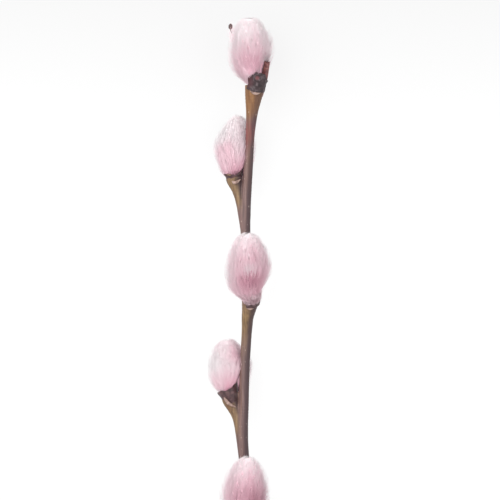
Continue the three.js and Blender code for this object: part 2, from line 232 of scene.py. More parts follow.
def along(rows, s):
    """Points at row numbers s of the smooth curve through the rows: a cubic between each two rows, whose
    slope at a row is half the step from the row before to the row after it."""
    rows = np.asarray(rows, float)
    i = np.minimum(np.floor(s).astype(int), len(rows) - 2)
    f = (s - i)[:, None]
    a, b, c, d = rows[np.maximum(i - 1, 0)], rows[i], rows[i + 1], rows[np.minimum(i + 2, len(rows) - 1)]
    return b + 0.5 * f * (c - a + f * (2 * a - 5 * b + 4 * c - d + f * (3 * (b - c) + d - a)))


def frames(rows, s):
    """Points, headings and two directions square to each heading, the first of them level."""
    here = along(rows, s)
    last = len(rows) - 1
    step = along(rows, np.minimum(s + 0.05, last)) - along(rows, np.maximum(s - 0.05, 0))
    heading = unit(step[:, :3])
    side = unit(np.cross(heading, [0, 0, 1]))
    return here, heading, side, np.cross(side, heading)


def limb(rows, sides, steps):
    """Rings round the smooth curve through rows of x, y, z and radius: the point plus the radius times
    the cosine of the angle to the side and its sine upward."""
    s = np.linspace(0, len(rows) - 1, (len(rows) - 1) * steps + 1)
    here, _, side, up = frames(rows, s)
    angle = np.linspace(0, 2 * np.pi, sides, endpoint=False)
    radius = here[:, None, 3:4]
    return here[:, None, :3] + radius * (
        np.cos(angle)[None, :, None] * side[:, None] + np.sin(angle)[None, :, None] * up[:, None]
    )


def grid_faces(rows, columns):
    """Four corners for each cell of a grid of points counted along its rows, with the last column joined to
    the first."""
    r, c = np.meshgrid(np.arange(rows - 1), np.arange(columns), indexing="ij")
    right = (c + 1) % columns
    here, above = r * columns, (r + 1) * columns
    return np.stack([here + c, here + right, above + right, above + c], -1)


def closed_tube(rings):
    """Points and faces of a tube through the rings, each end closed by a fan round its middle."""
    n, sides = rings.shape[:2]
    points = np.concatenate([rings.reshape(-1, 3), rings[:1].mean(1), rings[-1:].mean(1)])
    k = np.arange(sides)
    after = (k + 1) % sides
    start = np.stack([after, k, np.full(sides, n * sides)], -1)
    end = np.stack([k, after, np.full(sides, n * sides + 1)], -1) + [(n - 1) * sides, (n - 1) * sides, 0]
    return points, [grid_faces(n, sides).reshape(-1, 4), start, end]


def joined(parts):
    """Several sets of points and faces as one."""
    points, faces, start = [], [], 0
    for part_points, part_faces in parts:
        points.append(part_points)
        faces += [f + start for f in part_faces]
        start += len(part_points)
    return np.concatenate(points), faces


def lumps(points, size, seed):
    """Smooth noise from -1 to 1: random values on a lattice of a given size, blended between its corners."""
    table = np.random.default_rng(seed).uniform(-1, 1, 4096)
    cell = np.floor(points / size).astype(int)
    f = points / size - cell
    f = f * f * (3 - 2 * f)
    total = np.zeros(len(points))
    for corner in np.ndindex(2, 2, 2):
        key = cell + corner
        value = table[(key[:, 0] * 73 + key[:, 1] * 911 + key[:, 2] * 389) % 4096]
        total += value * np.prod(np.where(corner, f, 1 - f), axis=1)
    return total


def smooth_step(x):
    """0 below 0, 1 above 1, and an even curve between."""
    x = np.clip(x, 0, 1)
    return x * x * (3 - 2 * x)


# Pieces


def piece(name, points, faces, material, stands_for, uv=None):
    """A mesh object from points in millimetres and arrays of faces, put in the frame in metres."""
    mesh = bpy.data.meshes.new(name)
    corners = np.concatenate([f.ravel() for f in faces])
    sizes = np.concatenate([np.full(len(f), f.shape[1]) for f in faces])
    mesh.vertices.add(len(points))
    mesh.vertices.foreach_set("co", ((points + PHOTO_MIDDLE) * METRES).astype(np.float32).ravel())
    mesh.loops.add(len(corners))
    mesh.loops.foreach_set("vertex_index", corners.astype(np.int32))
    mesh.polygons.add(len(sizes))
    mesh.polygons.foreach_set("loop_start", (np.cumsum(sizes) - sizes).astype(np.int32))
    mesh.update(calc_edges=True)
    if uv is not None:
        layer = mesh.uv_layers.new(name="OFBake")
        layer.data.foreach_set("uv", uv[corners].astype(np.float32).ravel())
    mesh.shade_smooth()
    mesh.materials.append(material)
    made = bpy.data.objects.new(name, mesh)
    bpy.context.scene.collection.objects.link(made)
    return settled(made, stands_for)


def settled(made, stands_for):
    """Rides on the only body and stands for its node."""
    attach(made, "root")
    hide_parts(*stands_for)
    return made


def linear(colour):
    """A colour of the display, 0 to 255, as light."""
    c = np.array(colour) / 255
    return tuple(np.where(c <= 0.04045, c / 12.92, ((c + 0.055) / 1.055) ** 2.4)) + (1.0,)


def finish(name, roughness, **sockets):
    """A material with one shader, and a function that adds a node and links what it is given."""
    material = bpy.data.materials.new(name)
    material.use_nodes = True
    tree = material.node_tree
    shader = next(n for n in tree.nodes if n.type == "BSDF_PRINCIPLED")
    shader.inputs["Roughness"].default_value = roughness
    for socket, value in sockets.items():
        shader.inputs[socket.replace("_", " ")].default_value = value

    def node(kind, links=(), **settings):
        made = tree.nodes.new(kind)
        for key, value in settings.items():
            setattr(made, key, value)
        for key, source in dict(links).items():
            if isinstance(source, bpy.types.NodeSocket):
                tree.links.new(source, made.inputs[key])
            else:
                made.inputs[key].default_value = source
        return made

    return material, shader, node, tree


def ramp(node, source, stops):
    """Colours of the display at places from 0 to 1."""
    made = node("ShaderNodeValToRGB", {"Fac": source})
    elements = made.color_ramp.elements
    while len(elements) < len(stops):
        elements.new(0.5)
    for element, (place, colour) in zip(elements, stops):
        element.position = place
        element.color = linear(colour)
    return made.outputs["Color"]


def blended(node, share, first, second):
    """Two colours mixed by a share."""
    made = node("ShaderNodeMix", data_type="RGBA")
    tree = made.id_data
    for socket, source in ((made.inputs[0], share), (made.inputs[6], first), (made.inputs[7], second)):
        if isinstance(source, bpy.types.NodeSocket):
            tree.links.new(source, socket)
        else:
            socket.default_value = source
    return made.outputs[2]


def camera_and_light():
    """The camera looks straight down with a long lens, the photograph's square at the stem's height."""
    camera = bpy.data.objects.new("camera", bpy.data.cameras.new("camera"))
    camera.data.lens, camera.data.sensor_width = LENS, SENSOR
    away = PHOTO_SIDE / 2 / (SENSOR / 2 / LENS)
    camera.location = (PHOTO_MIDDLE + [0, 0, STEM_HEIGHT + away]) * METRES
    camera.data.clip_start, camera.data.clip_end = 0.05, 20
    bpy.context.scene.collection.objects.link(camera)
    bpy.context.scene.camera = camera

    world = bpy.data.worlds.new("pale room")
    world.use_nodes = True
    world.node_tree.nodes["Background"].inputs["Color"].default_value = (1, 1, 1, 1)
    world.node_tree.nodes["Background"].inputs["Strength"].default_value = ROOM_LIGHT
    bpy.context.scene.world = world
    for name, where, side, power in LAMPS:
        light = bpy.data.lights.new(name, "AREA")
        light.size, light.energy = side, power
        lamp = bpy.data.objects.new(name, light)
        lamp.location = where
        lamp.rotation_mode = "QUATERNION"
        lamp.rotation_quaternion = (-lamp.location).to_track_quat("-Z", "Y")
        bpy.context.scene.collection.objects.link(lamp)
    bpy.context.scene.view_settings.view_transform = "Standard"

    material, shader, node, tree = finish("pale floor", 0.9, Specular_IOR_Level=0.1)
    shader.inputs["Base Color"].default_value = (0.1, 0.1, 0.1, 1)
    shader.inputs["Emission Color"].default_value = (1, 1, 1, 1)
    place = node("ShaderNodeTexCoord").outputs["Object"]
    to_top = node("ShaderNodeSeparateXYZ", {"Vector": place}).outputs["Y"]
    (fade_from, fade_to), (least, most) = FLOOR_FADE, FLOOR_GLOW
    glow = node("ShaderNodeMapRange", {"Value": to_top, "From Min": fade_from, "From Max": fade_to,
                                       "To Min": least, "To Max": most})
    tree.links.new(glow.outputs[0], shader.inputs["Emission Strength"])
    mesh = bpy.data.meshes.new("floor")
    corners = [(x * FLOOR_HALF, y * FLOOR_HALF, 0) for x, y in ((-1, -1), (1, -1), (1, 1), (-1, 1))]
    mesh.from_pydata(corners, [], [(0, 1, 2, 3)])
    mesh.materials.append(material)
    floor = bpy.data.objects.new("floor", mesh)
    bpy.context.scene.collection.objects.link(floor)


# The catkins


def outline(t, blunt):
    """The wool's radius as a share of its greatest: four times s times one less s, to the power blunt,
    where s is t to the power SKEW."""
    s = np.power(np.clip(t, 0, 1), SKEW)
    return np.power(np.maximum(4 * s * (1 - s), 0), blunt)


def on_catkin(catkin, t, angle, share, wide=None):
    """Points at a share t of the axis, turned by angle, a share of the wool's radius out, drawn in where the
    catkin is pinched, with the height never below the surface. The radius is the one at t, or at wide."""
    here, _, side, up = frames([catkin["foot"], catkin["belly"], catkin["nose"]], 2 * np.clip(t, 0, 1))
    wide = t if wide is None else wide
    reach = share * catkin["radius"] * outline(wide, catkin["blunt"])
    for place, turn, depth, spread in catkin["pinches"]:
        near = np.exp(-((wide - place) / spread) ** 2) * np.maximum(np.cos(angle - turn), 0) ** 1.5
        reach = reach * (1 - depth * near)
    points = here + reach[:, None] * (np.cos(angle)[:, None] * side + np.sin(angle)[:, None] * up)
    points[:, 2] = np.maximum(points[:, 2], ABOVE_SURFACE)
    return points


WOOD_LINES = [along(rows, np.linspace(0, len(rows) - 1, (len(rows) - 1) * 8 + 1))
              for rows in [TWIG, *SPURS]]


def off_the_wood(points, gap):
    """Points inside a woody limb pushed straight out from its middle line to its bark."""
    out = points.copy()
    for line in WOOD_LINES:
        steps = out[:, None, :] - line[None, :, :3]
        away = np.linalg.norm(steps, axis=2)
        nearest = np.argmin(away, axis=1)
        every = np.arange(len(out))
        distance, radius = away[every, nearest], line[nearest, 3] + gap
        inside = (distance < radius) & (nearest < len(line) - 1)
        direction = steps[every, nearest] / np.maximum(distance, 1e-6)[:, None]
        out[inside] = (line[nearest, :3] + direction * radius[:, None])[inside]
    return out


def scale_frame(scale):
    """A bud scale's foot, the way that it points, the way that it faces and the way to its side."""
    heading = unit(np.array(scale["aim"], float))
    facing = np.array(scale["facing"], float)
    front = unit(facing - (facing @ heading) * heading)
    return np.array(scale["foot"], float), heading, front, np.cross(heading, front)


def lip_height(scale, share):
    """How high a bud scale's lip is at each share of the way round it."""
    heights = scale["heights"]
    return along([[h] for h in heights], (len(heights) - 1) * share)


def tucked(points, scale):
    """Points in front of a bud scale drawn in behind its shell: the radius from the scale's axis is held
    under the inner wall's, and may grow again with height above the lip and with angle past its sides."""
    foot, heading, front, side = scale_frame(scale)
    step = points - foot
    height = step @ heading
    ahead, aside = step @ front, -(step @ side)
    radius, angle = np.hypot(ahead, aside), np.arctan2(aside, ahead)
    half = math.radians(scale["span"] / 2)
    share = np.clip((angle / half + 1) / 2, 0, 1)
    lip = lip_height(scale, share)[:, 0]
    r0, r1 = scale["radii"]
    wall = r0 + (r1 - r0) * np.clip(height / lip, 0, 1) ** 0.8 - SCALE_WALL - SCALE_GAP
    past_lip = np.maximum(height - lip + LIP_OVERLAP, 0)
    past_side = np.maximum(np.abs(angle) - half, 0)
    most = wall + WIDENS_PAST_LIP * past_lip + WIDENS_PAST_SIDE * past_side * radius
    over = (radius > most) & (height > -3)
    factor = np.where(over, most / np.maximum(radius, 1e-6), 1)[:, None]
    drawn_in = step - (height[:, None] * heading)
    return foot + height[:, None] * heading + drawn_in * factor


def below_the_tip(points):
    """Points over the broken tip pressed down beside and behind it, deepest along its middle line."""
    line = along(BROKEN_TIP, np.linspace(0, 2, 40))
    away = np.linalg.norm(points[:, None, :2] - line[None, :, :2], axis=2)
    nearest = np.argmin(away, axis=1)
    distance = away[np.arange(len(points)), nearest]
    most = line[nearest, 2] - DIP_DEPTH + DIP_SLOPE * np.maximum(distance - DIP_FLOOR, 0)
    out = points.copy()
    out[:, 2] = np.where(distance < DIP_REACH, np.minimum(points[:, 2], most), points[:, 2])
    return out


def kept_clear(number, points):
    """Wool off the wood, in behind its bud scale and, on the top catkin, below the broken tip."""
    points = tucked(off_the_wood(points, WOOD_GAP), BUD_SCALES[number])
    return below_the_tip(points) if number == 1 else points


def wool_tone(catkin, t, angle, random):
    """How light a hair is: the catkin's own tones from foot to nose, darker towards its right, partly deeper
    rose and partly painted shade away from the window lamp, in soft patches, with a small difference from
    hair to hair."""
    tone = np.interp(t, np.linspace(0, 1, len(catkin["tone"])), catkin["tone"])
    to_right = np.cos(angle)
    patches = 0.04 * np.sin(3 * angle + 9 * t) + 0.03 * np.sin(7 * angle - 5 * t)
    for place, turn, lighter, spread in catkin["spots"]:
        near = np.exp(-((t - place) / spread) ** 2) * np.maximum(np.cos(angle - turn), 0) ** (0.4 / spread)
        patches = patches + lighter * near
    # The darkening to the right is partly painted shade, on the side away from the window lamp, and partly
    # deeper rose wool.
    tone = tone + catkin["right"] * to_right * (1 - t) * 1.2 + patches + random.normal(0, 0.045, len(t))
    return np.clip(tone, 0.02, 0.98)


def wool(number, catkin, material):
    """Hairs that leave the core low down and end on the wool's outline: each a three-sided tapered tube
    through a root, a bend and a point."""
    random = np.random.default_rng(40 + number)
    places = np.linspace(0.015, 0.999, 400)
    crowd = np.cumsum(outline(places, catkin["blunt"]) + 0.12)
    t = np.interp(random.uniform(0, crowd[-1], HAIRS), crowd, places)
    angle = random.uniform(0, 2 * np.pi, HAIRS)
    lean = random.uniform(0.10, 0.27, HAIRS) * np.minimum(1, 2.4 * (1.1 - t))
    start = np.maximum(t - lean, 0.01)
    swirl = 0.05 * np.sin(5 * angle + 11 * t) + random.normal(0, 0.12, HAIRS)
    swirl = swirl + random.normal(0, 0.9, HAIRS) * smooth_step((t - 0.8) / 0.2)
    reach = HAIR_SHORTEST + HAIR_MORE * random.exponential(1, HAIRS)
    reach = np.minimum(reach, catkin["longest"] - random.uniform(0, 0.06, HAIRS))
    root = on_catkin(catkin, start, angle, np.full(HAIRS, CORE_SHARE - 0.1))
    bend = on_catkin(catkin, start + 0.42 * (t - start), angle + 0.3 * swirl, 0.95 * reach)
    tip = on_catkin(catkin, t, angle + swirl, reach)
    axis = unit(np.subtract(catkin["nose"], catkin["foot"]))
    scatter = random.normal(0, TIP_SCATTER, tip.shape)
    forward = random.uniform(0, NOSE_REACH, HAIRS) * smooth_step((t - NOSE_START) / 0.22)
    forward = forward * (0.25 + 0.75 * np.maximum(np.sin(angle), 0))
    tip += scatter + np.outer(forward, axis)
    root, bend, tip = (kept_clear(number, points) for points in (root, bend, tip))
    out = bend - on_catkin(catkin, t, angle, np.zeros(HAIRS))
    out = unit(unit(out) + 0.5 * ((t - 0.45) * np.abs(t - 0.45) * 4)[:, None] * axis)
    out = unit(out + np.outer(smooth_step((t - NOSE_START) / 0.2), [0, 0, NOSE_LIFT]))
    tone = wool_tone(catkin, t, angle, random)
    return hairs(f"catkin_{number}_wool", root, bend, tip, tone, material, random,
                 (f"catkin_{number}",), out)


def hairs(name, root, bend, tip, tone, material, random, stands_for, out):
    """Closed three-sided hairs: a ring at the root, a ring at the bend and one point at the tip. They take
    light as the wool's surface does: their normals lean from the hair's own to the way out of the wool."""
    count = len(root)
    heading = unit(tip - root)
    side = unit(np.cross(heading, unit(random.normal(size=(count, 3)))))
    lift = np.cross(heading, side)
    width = HAIR_RADIUS * random.uniform(0.75, 1.25, count)[:, None]
    rings = []
    for middle, share in ((root, 1.0), (bend, 0.85)):
        for k in range(3):
            turn = 2 * np.pi * k / 3
            rings.append(middle + share * width * (math.cos(turn) * side + math.sin(turn) * lift))
    points = np.stack([*rings, tip], 1)
    points[..., 2] = np.maximum(points[..., 2], 0.4 * ABOVE_SURFACE)
    first = 7 * np.arange(count)[:, None]
    quads = np.concatenate([first + [k, (k + 1) % 3, 3 + (k + 1) % 3, 3 + k] for k in range(3)])
    caps = np.concatenate([first + [3 + k, 3 + (k + 1) % 3, 6] for k in range(3)] + [first + [2, 1, 0]])
    u = np.tile([0.02, 0.02, 0.02, 0.45, 0.45, 0.45, 0.98], (count, 1))
    v = tone[:, None] + 0.006 * np.array([-1, 0, 1, -1, 0, 1, 0])
    made = piece(name, points.reshape(-1, 3), [quads, caps], material, stands_for,
                 uv=np.stack([u, v], -1).reshape(-1, 2))
    round_it = [math.cos(a) * side + math.sin(a) * lift for a in (0, 2 * np.pi / 3, 4 * np.pi / 3)]
    own = np.stack([*round_it, *round_it, heading], 1)
    lean = unit(HAIR_OWN * own + out[:, None, :])
    made.data.normals_split_custom_set_from_vertices(lean.reshape(-1, 3).astype(np.float32))
    return made


def core(number, catkin, material):
    """The catkin's middle under the long hairs, dense wool with the same tones: a closed round body with
    small pointed bracts in a spiral."""
    random = np.random.default_rng(60 + number)
    rings, sides = 36, 40
    first, last = CORE_ENDS
    wide = 0.005 + 0.99 * (1 - np.cos(np.linspace(0, np.pi, rings))) / 2
    angle = np.linspace(0, 2 * np.pi, sides, endpoint=False)
    ww, aa = np.repeat(wide, sides), np.tile(angle, rings)
    t = first + (last - first) * ww
    share = CORE_SHARE * (1 - 0.25 * smooth_step((ww - 0.6) / 0.4))
    body = on_catkin(catkin, t, aa, share, ww)
    body = kept_clear(number, body).reshape(rings, sides, 3)
    for _ in range(CORE_SMOOTHINGS):
        round_it = np.roll(body, 1, 1) + np.roll(body, -1, 1)
        along_it = np.concatenate([body[:1], body[:-1]]) + np.concatenate([body[1:], body[-1:]])
        body = 0.4 * body + 0.15 * (round_it + along_it)
    body_parts = closed_tube(body)
    t, aa = np.concatenate([t, CORE_ENDS]), np.concatenate([aa, [0, 0]])
    tone = np.minimum(wool_tone(catkin, t + HAIR_LEAN, aa, random), CORE_LIGHTEST)
    across = 0.34 + 0.08 * (1 + np.sin(2 * aa))

    n = np.arange(BRACTS)
    wide = 0.06 + 0.86 * ((n + 0.5) / BRACTS) ** 0.9
    turn = n * GOLDEN_ANGLE
    t = first + (last - first) * wide
    foot = on_catkin(catkin, t, turn, np.full(BRACTS, CORE_SHARE - 0.08), wide)
    onward = np.minimum(wide + 0.05, 0.97)
    point = on_catkin(catkin, t + 0.09, turn, np.full(BRACTS, CORE_SHARE + 0.01), onward)
    heading = unit(point - foot)
    here = on_catkin(catkin, t, turn, np.zeros(BRACTS))
    side = unit(np.cross(heading, foot - here))
    lift = np.cross(side, heading)
    middle = 0.45 * foot + 0.55 * point
    points = np.stack([foot, middle + 0.62 * side, middle - 0.3 * lift, middle - 0.62 * side,
                       middle + 0.3 * lift, point], 1)
    points[..., 2] = np.maximum(points[..., 2], ABOVE_SURFACE)
    points = kept_clear(number, points.reshape(-1, 3))
    ring = np.array([1, 2, 3, 4])
    after = np.array([2, 3, 4, 1])
    lower = np.stack([np.zeros(4, int), ring, after], -1)
    upper = np.stack([np.full(4, 5), after, ring], -1)
    faces = (6 * n[:, None, None] + np.concatenate([lower, upper])[None]).reshape(-1, 3)
    points, faces = joined([body_parts, (points, [faces])])
    bract_tone = wool_tone(catkin, t, turn, random)[:, None] + 0.006 * np.array([-1, 0, 1, 0, -1, 1])
    bract_across = np.tile([0.48, 0.44, 0.44, 0.44, 0.44, 0.36], (BRACTS, 1))
    u = np.concatenate([across, bract_across.ravel()])
    v = np.concatenate([tone, bract_tone.ravel()])
    return piece(f"catkin_{number}_core", points, faces, material,
                 (f"catkin_{number}",), uv=np.stack([u, v], -1))


# The stem


def bark_marks(points, normals):
    """Where the bark is ochre, olive or wine red, from the height along the stem and nearness to a spur, and
    where it takes painted shade, darker the more its skin faces right, away from the window lamp."""
    y = points[:, 1]
    ochre = smooth_step((y - OCHRE_START) / 5)
    wine = np.exp(-((y - WINE_MIDDLE) / 5.5) ** 2)
    olive = np.exp(-((y - OLIVE_MIDDLE) / 9) ** 2)
    main = np.linalg.norm(points[:, None, :] - WOOD_LINES[0][None, :, :3], axis=2).min(1)
    for number, low, high in OLIVE_SPURS:
        spur = WOOD_LINES[number]
        away = np.linalg.norm(points[:, None, :] - spur[None, 4:, :3], axis=2)
        on_spur = smooth_step((main - away.min(1)) / 1.2 + 0.4) * smooth_step((y - low) / (high - low))
        olive = np.maximum(olive, 0.85 * on_spur)
    # Painted shade: bark whose skin faces right, away from the window lamp, is darkened, less so where it is
    # ochre or wine red.
    painted_shade = smooth_step((normals[:, 0] + 0.36) / 0.85) * (1 - 0.35 * np.maximum(ochre, wine))
    return dict(ochre=ochre, wine=wine, olive=np.clip(olive, 0, 1), painted_shade=painted_shade)


def stem(material, cut_material):
    """The twig and its spurs as one skin, with fine grooves along it, wrinkles at the nodes and small
    raised pores; cut on a slant at the foot."""
    parts = [closed_tube(limb(TWIG, 40, 10))] + [closed_tube(limb(rows, 36, 12)) for rows in SPURS]
    points, faces = joined(parts)
    rough = piece("twig", points, faces, material, ("stem",))
    remesh = rough.modifiers.new("one skin", "REMESH")
    remesh.mode, remesh.voxel_size = "VOXEL", SKIN_CELL
    smooth = rough.modifiers.new("soft joins", "SMOOTH")
    smooth.factor, smooth.iterations = 0.5, 8
    dg = bpy.context.evaluated_depsgraph_get()
    mesh = bpy.data.meshes.new_from_object(rough.evaluated_get(dg))
    rough.modifiers.clear()

    bark = bmesh.new()
    bark.from_mesh(mesh)
    slant = math.radians(CUT_SLANT)
    corner = (np.array(TWIG[0][:3]) + [0, CUT_IN, 0] + PHOTO_MIDDLE) * METRES
    normal = (0, -math.cos(slant), math.sin(slant))
    cut = bmesh.ops.bisect_plane(bark, geom=bark.verts[:] + bark.edges[:] + bark.faces[:], dist=1e-7,
                                 plane_co=corner, plane_no=normal, clear_outer=True)
    rim_edges = [e for e in cut["geom_cut"] if isinstance(e, bmesh.types.BMEdge)]
    bmesh.ops.triangle_fill(bark, edges=rim_edges, use_beauty=True, normal=normal)
    bmesh.ops.triangulate(bark, faces=bark.faces[:])
    bmesh.ops.recalc_face_normals(bark, faces=bark.faces[:])
    bark.to_mesh(mesh)
    bark.free()
    rough.data = mesh
    mesh.name = "stem"

    count = len(mesh.vertices)
    co, normals = np.empty(count * 3, np.float32), np.empty(count * 3, np.float32)
    mesh.vertices.foreach_get("co", co)
    mesh.vertices.foreach_get("normal", normals)
    points = co.reshape(-1, 3).astype(float) / METRES - PHOTO_MIDDLE
    normals = normals.reshape(-1, 3)
    on_cut = np.abs((points + PHOTO_MIDDLE - corner / METRES) @ normal) < 0.02

    grooves = lumps(points * [1, 0.10, 1], 0.55, 3) + 0.6 * lumps(points * [1, 0.16, 1], 0.3, 4)
    coarse = lumps(points * [1, 0.5, 1], 2.6, 5)
    wrinkles = np.zeros(count)
    for y in NODE_HEIGHTS:
        near = np.exp(-((points[:, 1] - y) / 3.2) ** 2)
        wrinkles += near * np.sin(points[:, 1] * 5.2 + 1.3 * lumps(points, 2, 6))
    random = np.random.default_rng(11)
    line = WOOD_LINES[0]
    place = random.integers(2, len(line) - 12, PORES)
    turn = random.uniform(0, 2 * np.pi, PORES)
    seat = line[place, :3] + line[place, 3:4] * np.stack([np.cos(turn), np.zeros(PORES), np.sin(turn)], 1)
    spread = random.uniform(0.13, 0.24, PORES)
    pore = np.zeros(count)
    for here, size in zip(seat, spread):
        near = np.abs(points[:, 1] - here[1]) < 1.2
        step = (points[near] - here) / [size, 1.7 * size, size]
        pore[near] = np.maximum(pore[near], np.exp(-(step ** 2).sum(1)))
    lift = GROOVE_LIFT * grooves + SWELLING_LIFT * coarse + WRINKLE_LIFT * wrinkles + PORE_LIFT * pore
    lift = np.where(on_cut, 0, lift)
    points = points + normals * lift[:, None]
    points[:, 2] = np.maximum(points[:, 2], 0)
    mesh.vertices.foreach_set("co", ((points + PHOTO_MIDDLE) * METRES).astype(np.float32).ravel())
    for mark, values in dict(pore=pore, **bark_marks(points, normals)).items():
        mesh.attributes.new(mark, "FLOAT", "POINT").data.foreach_set("value", values.astype(np.float32))
    mesh.materials.clear()
    mesh.materials.append(material)
    mesh.materials.append(cut_material)
    faces = len(mesh.polygons)
    facing = np.empty(faces * 3, np.float32)
    mesh.polygons.foreach_get("normal", facing)
    centre = np.empty(faces * 3, np.float32)
    mesh.polygons.foreach_get("center", centre)
    flat = np.abs((centre.reshape(-1, 3) - corner) @ normal) < 3e-5
    mesh.polygons.foreach_set("material_index", flat.astype(np.int32))
    mesh.update()
    mesh.shade_smooth()
    return rough


def bark_finish():
    """Mauve brown bark with fine streaks along it, ochre under the top bud, wine red below that, olive at
    the spurs, with pale pores, and painted shade darkening it towards the side that faces right."""
    material, shader, node, tree = finish("bark", 0.52, Specular_IOR_Level=0.35)
    place = node("ShaderNodeTexCoord").outputs["Object"]
    stretched = node("ShaderNodeMapping", {"Vector": place, "Scale": (1, 0.07, 1)}).outputs["Vector"]
    streaks = node("ShaderNodeTexNoise", {"Vector": stretched, "Scale": 1500, "Detail": 5}).outputs["Fac"]
    broad = node("ShaderNodeTexNoise", {"Vector": stretched, "Scale": 420, "Detail": 2}).outputs["Fac"]
    mark = {k: node("ShaderNodeAttribute", attribute_name=k).outputs["Fac"]
            for k in ("pore", "ochre", "wine", "olive", "painted_shade")}
    base = ramp(node, streaks, [(0.3, (80, 61, 60)), (0.5, (101, 78, 75)), (0.72, (120, 96, 90))])
    ochre = ramp(node, streaks, [(0.3, (98, 63, 34)), (0.5, (119, 82, 48)), (0.72, (134, 98, 60))])
    wine = ramp(node, streaks, [(0.3, (84, 40, 42)), (0.5, (110, 58, 58)), (0.72, (128, 76, 73))])
    olive = ramp(node, streaks, [(0.3, (84, 62, 42)), (0.5, (112, 88, 58)), (0.72, (132, 106, 70))])
    brown = linear((100, 68, 44))
    colour = blended(node, mark["wine"], base, wine)
    colour = blended(node, mark["olive"], colour, olive)
    colour = blended(node, mark["ochre"], colour, ochre)
    share = node("ShaderNodeMapRange", {"Value": broad, "From Min": 0.52, "From Max": 0.7, "To Max": 0.6})
    colour = blended(node, share.outputs[0], colour, brown)
    # Painted shade: the bark is mixed towards dark mauve grey on the side that faces right.
    shaded = node("ShaderNodeMath", {0: mark["painted_shade"], 1: 0.88}, operation="MULTIPLY").outputs[0]
    colour = blended(node, shaded, colour, linear((52, 35, 39)))
    dots = node("ShaderNodeMapRange", {"Value": mark["pore"], "From Min": 0.35, "From Max": 0.8,
                                       "To Max": 0.36})
    colour = blended(node, dots.outputs[0], colour, linear((206, 190, 178)))
    tree.links.new(colour, shader.inputs["Base Color"])
    bump = node("ShaderNodeBump", {"Height": streaks, "Strength": 0.35, "Distance": 0.0001})
    tree.links.new(bump.outputs["Normal"], shader.inputs["Normal"])
    return material


def cut_finish():
    """Pale wood with rings, a soft pith in the middle and a green line under the bark."""
    material, shader, node, tree = finish("cut wood", 0.7, Specular_IOR_Level=0.2)
    place = node("ShaderNodeTexCoord").outputs["Object"]
    middle = (np.array(TWIG[0][:3]) + [-0.15, CUT_IN, 0.2] + PHOTO_MIDDLE) * METRES
    shifted = node("ShaderNodeMapping", {"Vector": place, "Location": tuple(-middle)}).outputs["Vector"]
    squashed = node("ShaderNodeMapping", {"Vector": shifted, "Scale": (1, 0.53, 0.85)}).outputs["Vector"]
    length = node("ShaderNodeVectorMath", {0: squashed}, operation="LENGTH").outputs["Value"]
    share = node("ShaderNodeMath", {0: length, 1: 1 / 0.0022}, operation="MULTIPLY").outputs[0]
    colour = ramp(node, share, [(0.0, (160, 132, 98)), (0.16, (152, 122, 88)), (0.22, (196, 178, 144)),
                                (0.6, (188, 168, 132)), (0.84, (178, 160, 118)), (0.92, (112, 118, 70))])
    tree.links.new(colour, shader.inputs["Base Color"])
    return material


def wool_finish():
    """Colour from the hair's own map: across it from root to tip, up it from deep rose to white."""
    material, shader, node, tree = finish("catkin wool", 0.7, Specular_IOR_Level=0.2, Sheen_Weight=0.6,
                                          Sheen_Roughness=0.5)
    spread = node("ShaderNodeUVMap", uv_map="OFBake").outputs["UV"]
    parts = node("ShaderNodeSeparateXYZ", {"Vector": spread})
    tips = ramp(node, parts.outputs["Y"], [
        (0.0, (167, 110, 130)), (0.25, (205, 145, 162)), (0.5, (228, 178, 193)), (0.75, (236, 206, 214)),
        (1.0, (237, 229, 231))])
    roots = ramp(node, parts.outputs["Y"], [
        (0.0, (138, 80, 104)), (0.3, (186, 116, 140)), (0.6, (225, 174, 189)), (1.0, (236, 224, 227))])
    share = node("ShaderNodeMapRange", {"Value": parts.outputs["X"], "From Min": 0.05, "From Max": 0.55})
    tree.links.new(blended(node, share.outputs[0], roots, tips), shader.inputs["Base Color"])
    return material


def scale_finish(name, dark, middle, light, spots=()):
    """Dry scale: dark and light mottling with fine wrinkles across it, and spots of another colour, each a
    middle in millimetres, a radius and a colour."""
    material, shader, node, tree = finish(name, 0.5, Specular_IOR_Level=0.4)
    place = node("ShaderNodeTexCoord").outputs["Object"]
    mottle = node("ShaderNodeTexNoise", {"Vector": place, "Scale": 700, "Detail": 4, "Distortion": 0.6})
    colour = ramp(node, mottle.outputs["Fac"], [(0.32, dark), (0.52, middle), (0.72, light)])
    for middle_of_spot, radius, tint in spots:
        centre = tuple((np.array(middle_of_spot) + PHOTO_MIDDLE) * METRES)
        away = node("ShaderNodeVectorMath", {0: place, 1: centre}, operation="DISTANCE").outputs["Value"]
        share = node("ShaderNodeMapRange", {"Value": away, "From Min": radius * METRES,
                                            "From Max": 0.5 * radius * METRES, "To Max": 0.8})
        colour = blended(node, share.outputs[0], colour, linear(tint))
    tree.links.new(colour, shader.inputs["Base Color"])
    bump = node("ShaderNodeBump", {"Height": mottle.outputs["Fac"], "Strength": 0.5, "Distance": 0.0002})
    tree.links.new(bump.outputs["Normal"], shader.inputs["Normal"])
    return material


